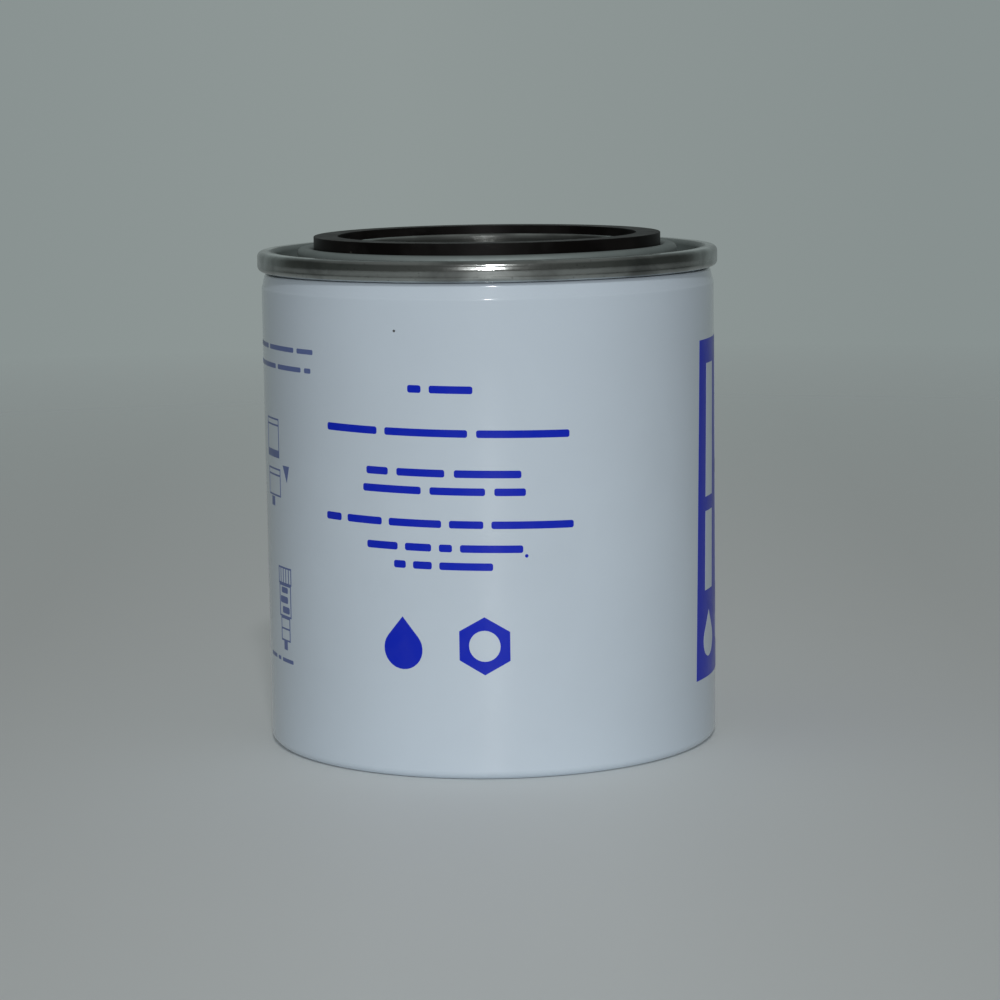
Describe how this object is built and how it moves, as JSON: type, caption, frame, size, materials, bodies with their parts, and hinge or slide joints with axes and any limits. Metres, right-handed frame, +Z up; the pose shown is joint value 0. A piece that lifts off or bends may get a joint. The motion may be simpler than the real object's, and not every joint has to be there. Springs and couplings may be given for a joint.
{
  "type": "fuel water separator element",
  "caption": "Spin-on fuel water separator element: seamed steel can with a square-section head gasket, threaded plate, pleated media and a bowl port underneath.",
  "frame": {"origin": "middle of the can's base, on the axis, in the plane it stands on", "axes": "+Z up along the can's axis towards the head gasket, -Y towards the camera of the picture, +X to its right"},
  "size_m": [0.0954, 0.0954, 0.1054],
  "materials": {
    "white_enamel": "glossy white enamel on steel, with blue print",
    "tinplate": "bright tinned sheet, rolled and pressed",
    "gasket_rubber": "moulded black nitrile, slightly dusty",
    "plated_steel": "zinc-plated thick steel",
    "seal_rubber": "moulded nitrile",
    "cap_steel": "galvanised sheet",
    "potting_compound": "cured adhesive, matt brick red",
    "treated_paper": "resin-treated filter paper",
    "core_nylon": "moulded nylon",
    "spring_steel": "oiled spring sheet"
  },
  "bodies": {
    "root": {"can_shell": "white_enamel", "seaming_lid": "tinplate", "head_gasket": "gasket_rubber", "tapping_plate": "plated_steel", "element_grommet": "seal_rubber", "top_end_cap": "cap_steel", "bottom_end_cap": "cap_steel", "top_potting": "potting_compound", "bottom_potting": "potting_compound", "pleated_media": "treated_paper", "center_tube": "core_nylon", "support_spring": "spring_steel", "bowl_port_ring": "plated_steel"}
  },
  "joints": []
}
